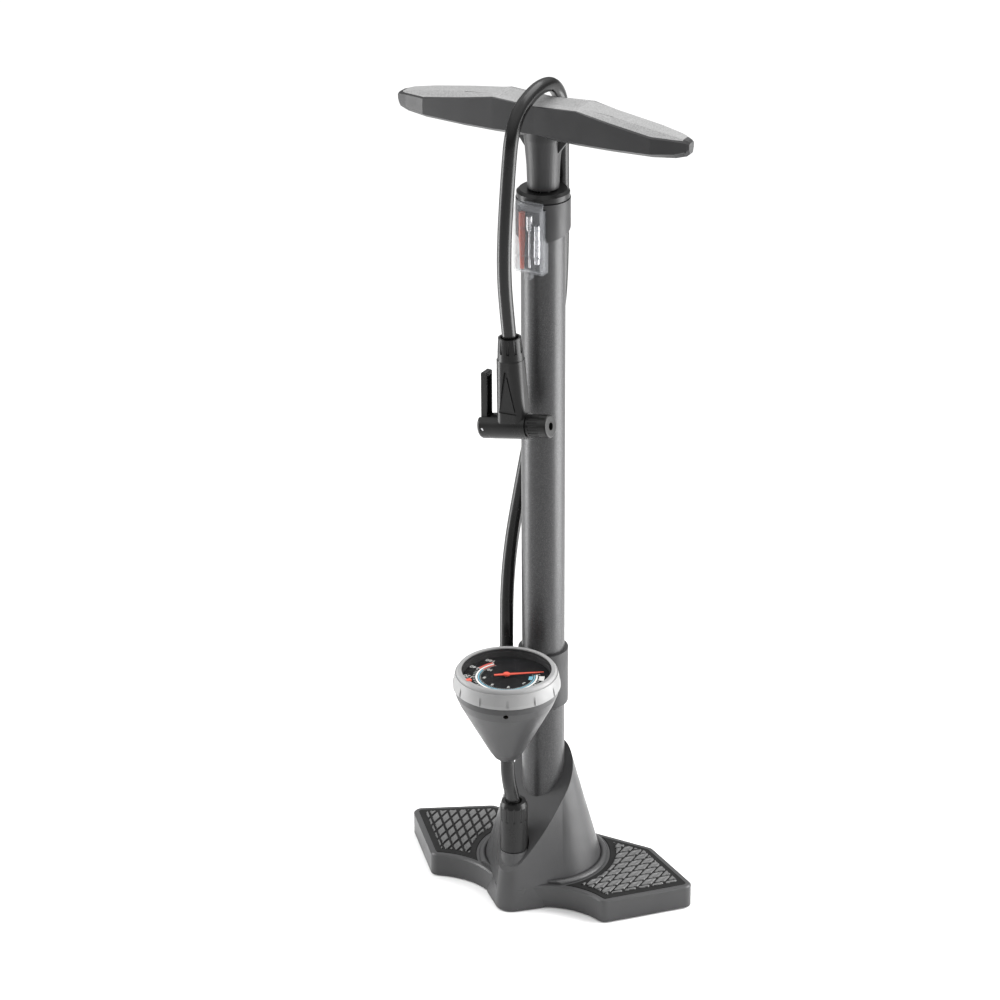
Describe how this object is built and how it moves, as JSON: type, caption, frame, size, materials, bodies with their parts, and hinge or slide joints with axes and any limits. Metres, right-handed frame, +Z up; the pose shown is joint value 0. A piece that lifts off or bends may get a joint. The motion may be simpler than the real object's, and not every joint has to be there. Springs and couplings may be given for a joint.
{
  "type": "floor bike pump",
  "caption": "Upright floor pump with winged foot base, gauge on the barrel, T handle, and a hose with a lever chuck draped over the handle.",
  "frame": {"origin": "barrel axis at floor level", "axes": "+Z up along the barrel, -Y to the gauge's side, +X to the right wing seen from the gauge's side"},
  "size_m": [0.2632, 0.1563, 0.6985],
  "materials": {
    "shell_plastic": "fine grained dark grey plastic",
    "handle_plastic": "satin dark grey plastic",
    "cover_plastic": "light grey soft-touch plastic with fine grain",
    "black_plastic": "gloss black plastic",
    "grey_plastic": "mid grey plastic",
    "barrel_paint": "satin metallic grey paint",
    "tread_rubber": "black rubber with diamond tread",
    "seal_rubber": "black rubber",
    "hose_rubber": "smooth black hose",
    "rod_steel": "hard chrome rod",
    "steel": "zinc plated steel",
    "brass": "turned brass",
    "clear_plastic": "clear plastic",
    "orange_plastic": "orange plastic",
    "dial_face": "printed black dial",
    "red_paint": "red"
  },
  "bodies": {
    "base": {"base_shell": "shell_plastic", "tread_pad_left": "tread_rubber", "tread_pad_right": "tread_rubber", "rubber_feet": "seal_rubber", "foot_bolt": "steel", "barrel": "barrel_paint", "foot_valve_body": "grey_plastic", "foot_valve_seal": "seal_rubber", "check_spring": "steel", "air_duct": "black_plastic", "base_elbow": "brass", "hose_nut": "black_plastic", "feed_hose": "hose_rubber", "gauge_collar": "handle_plastic", "gauge_housing": "shell_plastic", "gauge_manifold": "brass", "hose_elbow": "black_plastic", "gauge_movement": "brass", "dial_plate": "dial_face", "gauge_lens": "clear_plastic", "collar_screw": "steel", "hose_lower": "hose_rubber", "top_cap": "black_plastic", "rod_bushing": "grey_plastic", "cap_seal": "seal_rubber", "accessory_holder": "handle_plastic"},
    "rod": {"piston_rod": "rod_steel", "piston": "black_plastic", "piston_seal": "seal_rubber", "piston_nut": "steel", "handle_core": "handle_plastic", "handle_cover": "cover_plastic", "rod_nut": "steel", "hose_upper": "hose_rubber", "chuck_body": "black_plastic", "hose_collar": "black_plastic", "lever_pin": "steel", "valve_gasket": "seal_rubber"},
    "bezel": {"bezel_ring": "grey_plastic", "pressure_marker": "red_paint"},
    "needle": {"gauge_needle": "red_paint", "needle_shaft": "steel"},
    "cover": {"accessory_cover": "clear_plastic", "inflator_cone": "orange_plastic", "ball_needle": "steel", "valve_adapter": "steel"},
    "valve_ball": {"check_ball": "steel"},
    "lever": {"chuck_lever": "black_plastic"},
    "plunger": {"chuck_plunger": "grey_plastic", "plunger_seal": "seal_rubber"},
    "nozzle": {"nozzle_cap": "black_plastic"}
  },
  "joints": [
    {"name": "rod_slide", "type": "slide", "parent": "base", "child": "rod", "axis": [0, 0, 1], "range_m": [0, 0.45]},
    {"name": "bezel_turn", "type": "hinge", "parent": "base", "child": "bezel", "pos_m": [0, -0.0615, 0.215], "axis": [0, 0, 1], "continuous": true},
    {"name": "needle_turn", "type": "hinge", "parent": "base", "child": "needle", "pos_m": [0, -0.0615, 0.217], "axis": [0, 0, -1], "range_deg": [0, 252], "stiffness_Nm_per_rad": 0.0003},
    {"name": "cover_slide", "type": "slide", "parent": "base", "child": "cover", "axis": [0, 0, -1], "range_m": [0, 0.062]},
    {"name": "check_ball_lift", "type": "slide", "parent": "base", "child": "valve_ball", "axis": [0, 0, -1], "range_m": [0, 0.002], "stiffness_N_per_m": 150, "springref_m": -0.002, "deforming": ["check_spring"]},
    {"name": "lever_flip", "type": "hinge", "parent": "rod", "child": "lever", "pos_m": [-0.02206, -0.05, 0.42642], "axis": [0, -1, 0], "range_deg": [0, 90]},
    {"name": "plunger_slide", "type": "slide", "parent": "rod", "child": "plunger", "axis": [-0.9816, 0, -0.1908], "range_m": [0, 0.0023]},
    {"name": "nozzle_turn", "type": "hinge", "parent": "rod", "child": "nozzle", "pos_m": [0.02506, -0.05, 0.43558], "axis": [0.9816, 0, 0.1908], "continuous": true}
  ],
  "couplings": [
    {"joint": "lever_flip", "follows": "plunger_slide", "rad_per_m": 682.9}
  ]
}
